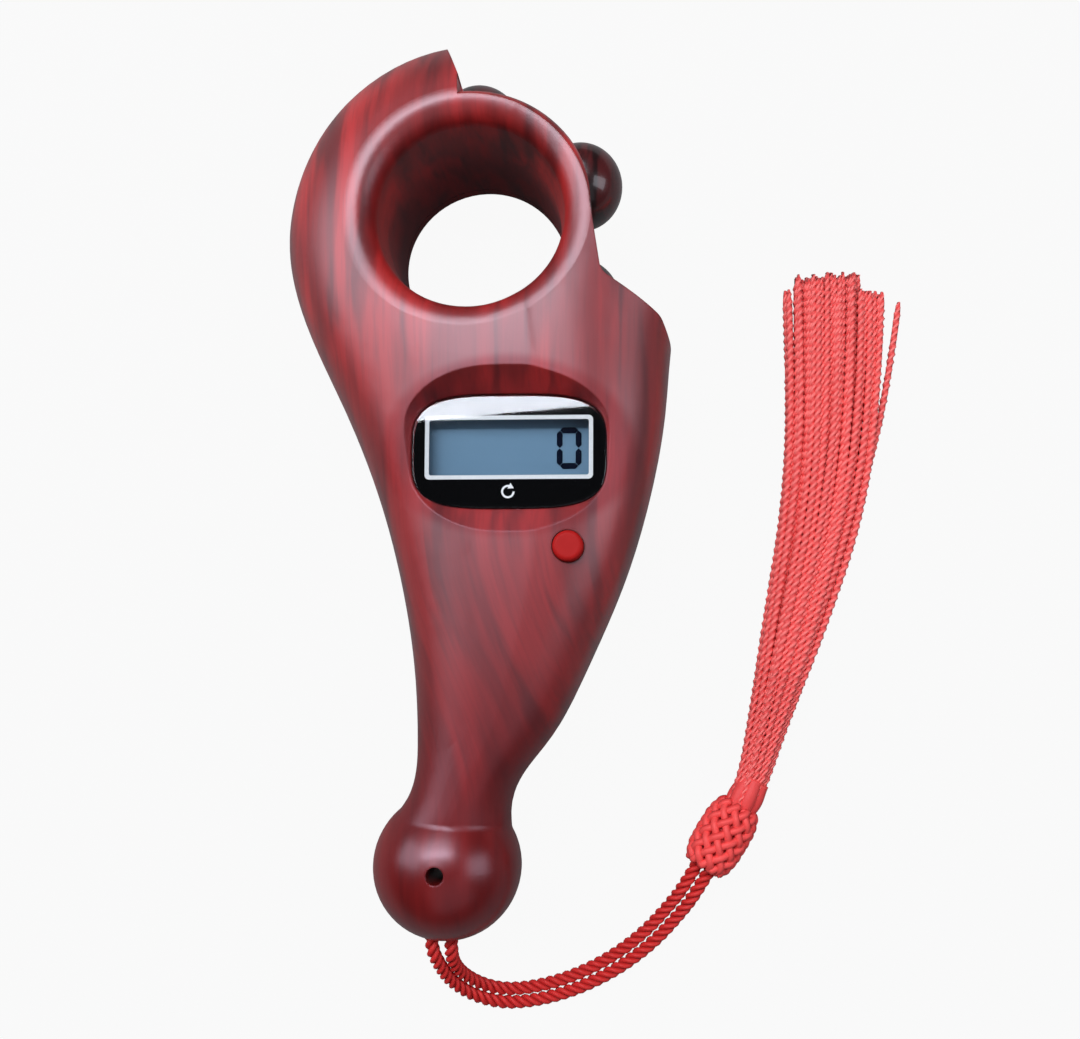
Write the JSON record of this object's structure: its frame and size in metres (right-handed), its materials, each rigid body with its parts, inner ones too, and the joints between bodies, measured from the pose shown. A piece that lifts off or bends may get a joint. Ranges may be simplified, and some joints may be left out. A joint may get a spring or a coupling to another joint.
{
  "type": "digital tasbih counter",
  "caption": "Finger-ring tally counter: comma-shaped housing with a turning bead wheel, small display, reset button and a cord with a tassel.",
  "frame": {"origin": "on the axis of the finger hole, on the plane where the two shells meet", "axes": "+Z along the finger hole towards the display, +Y along the length towards the hook, +X to the right of the display"},
  "size_m": [0.0711, 0.1115, 0.0204],
  "materials": {
    "printed_plastic": "dark rosewood print under satin lacquer",
    "wheel_plastic": "dark moulded plastic",
    "bead_plastic": "polished dark red-brown",
    "screw_steel": "plain steel",
    "clear_lens": "clear acrylic",
    "black_print": "black print",
    "white_print": "white print",
    "tape": "adhesive tape",
    "lcd_glass": "blue-grey display glass",
    "foil": "brushed foil",
    "zebra_rubber": "banded rubber",
    "white_plastic": "white plastic",
    "board_green": "green board",
    "epoxy_black": "black epoxy",
    "chip_ceramic": "tan ceramic",
    "dome_rubber": "grey silicone",
    "red_plastic": "bright red",
    "cell_steel": "nickel-plated steel",
    "contact_metal": "spring metal",
    "red_silk": "bright red silk"
  },
  "bodies": {
    "housing": {"front_housing": "printed_plastic", "back_housing": "printed_plastic", "battery_door": "printed_plastic", "shell_screw_1": "screw_steel", "shell_screw_2": "screw_steel", "shell_screw_3": "screw_steel", "board_screw_1": "screw_steel", "board_screw_2": "screw_steel", "door_screw": "screw_steel", "display_lens": "clear_lens", "lens_mask": "black_print", "lens_line": "white_print", "lens_tape": "tape", "lcd_glass": "lcd_glass", "lcd_reflector": "foil", "zebra_strip": "zebra_rubber", "lcd_frame": "white_plastic", "circuit_board": "board_green", "chip_blob": "epoxy_black", "chip_part_1": "chip_ceramic", "chip_part_2": "chip_ceramic", "reset_dome": "dome_rubber", "button_cell": "cell_steel", "cell_clip": "contact_metal", "cell_spring": "contact_metal", "click_spring": "contact_metal", "cord_bight": "red_silk", "cord_strand_left": "red_silk", "cord_strand_right": "red_silk", "tassel_head": "red_silk", "tassel_binding": "red_silk", "tassel_skirt": "red_silk"},
    "wheel": {"bead_wheel": "wheel_plastic", "wheel_bead_1": "bead_plastic", "wheel_bead_2": "bead_plastic", "wheel_bead_3": "bead_plastic", "wheel_bead_4": "bead_plastic", "wheel_bead_5": "bead_plastic", "wheel_bead_6": "bead_plastic"},
    "reset": {"reset_button": "red_plastic"}
  },
  "joints": [
    {"name": "wheel_turn", "type": "hinge", "parent": "housing", "child": "wheel", "pos_m": [0, 0, 0], "axis": [0, 0, 1], "continuous": true, "deforming": ["click_spring"]},
    {"name": "reset_press", "type": "slide", "parent": "housing", "child": "reset", "axis": [0, 0, -1], "range_m": [0, 0.0008], "stiffness_N_per_m": 800, "springref_m": -0.0005, "deforming": ["reset_dome"]}
  ]
}
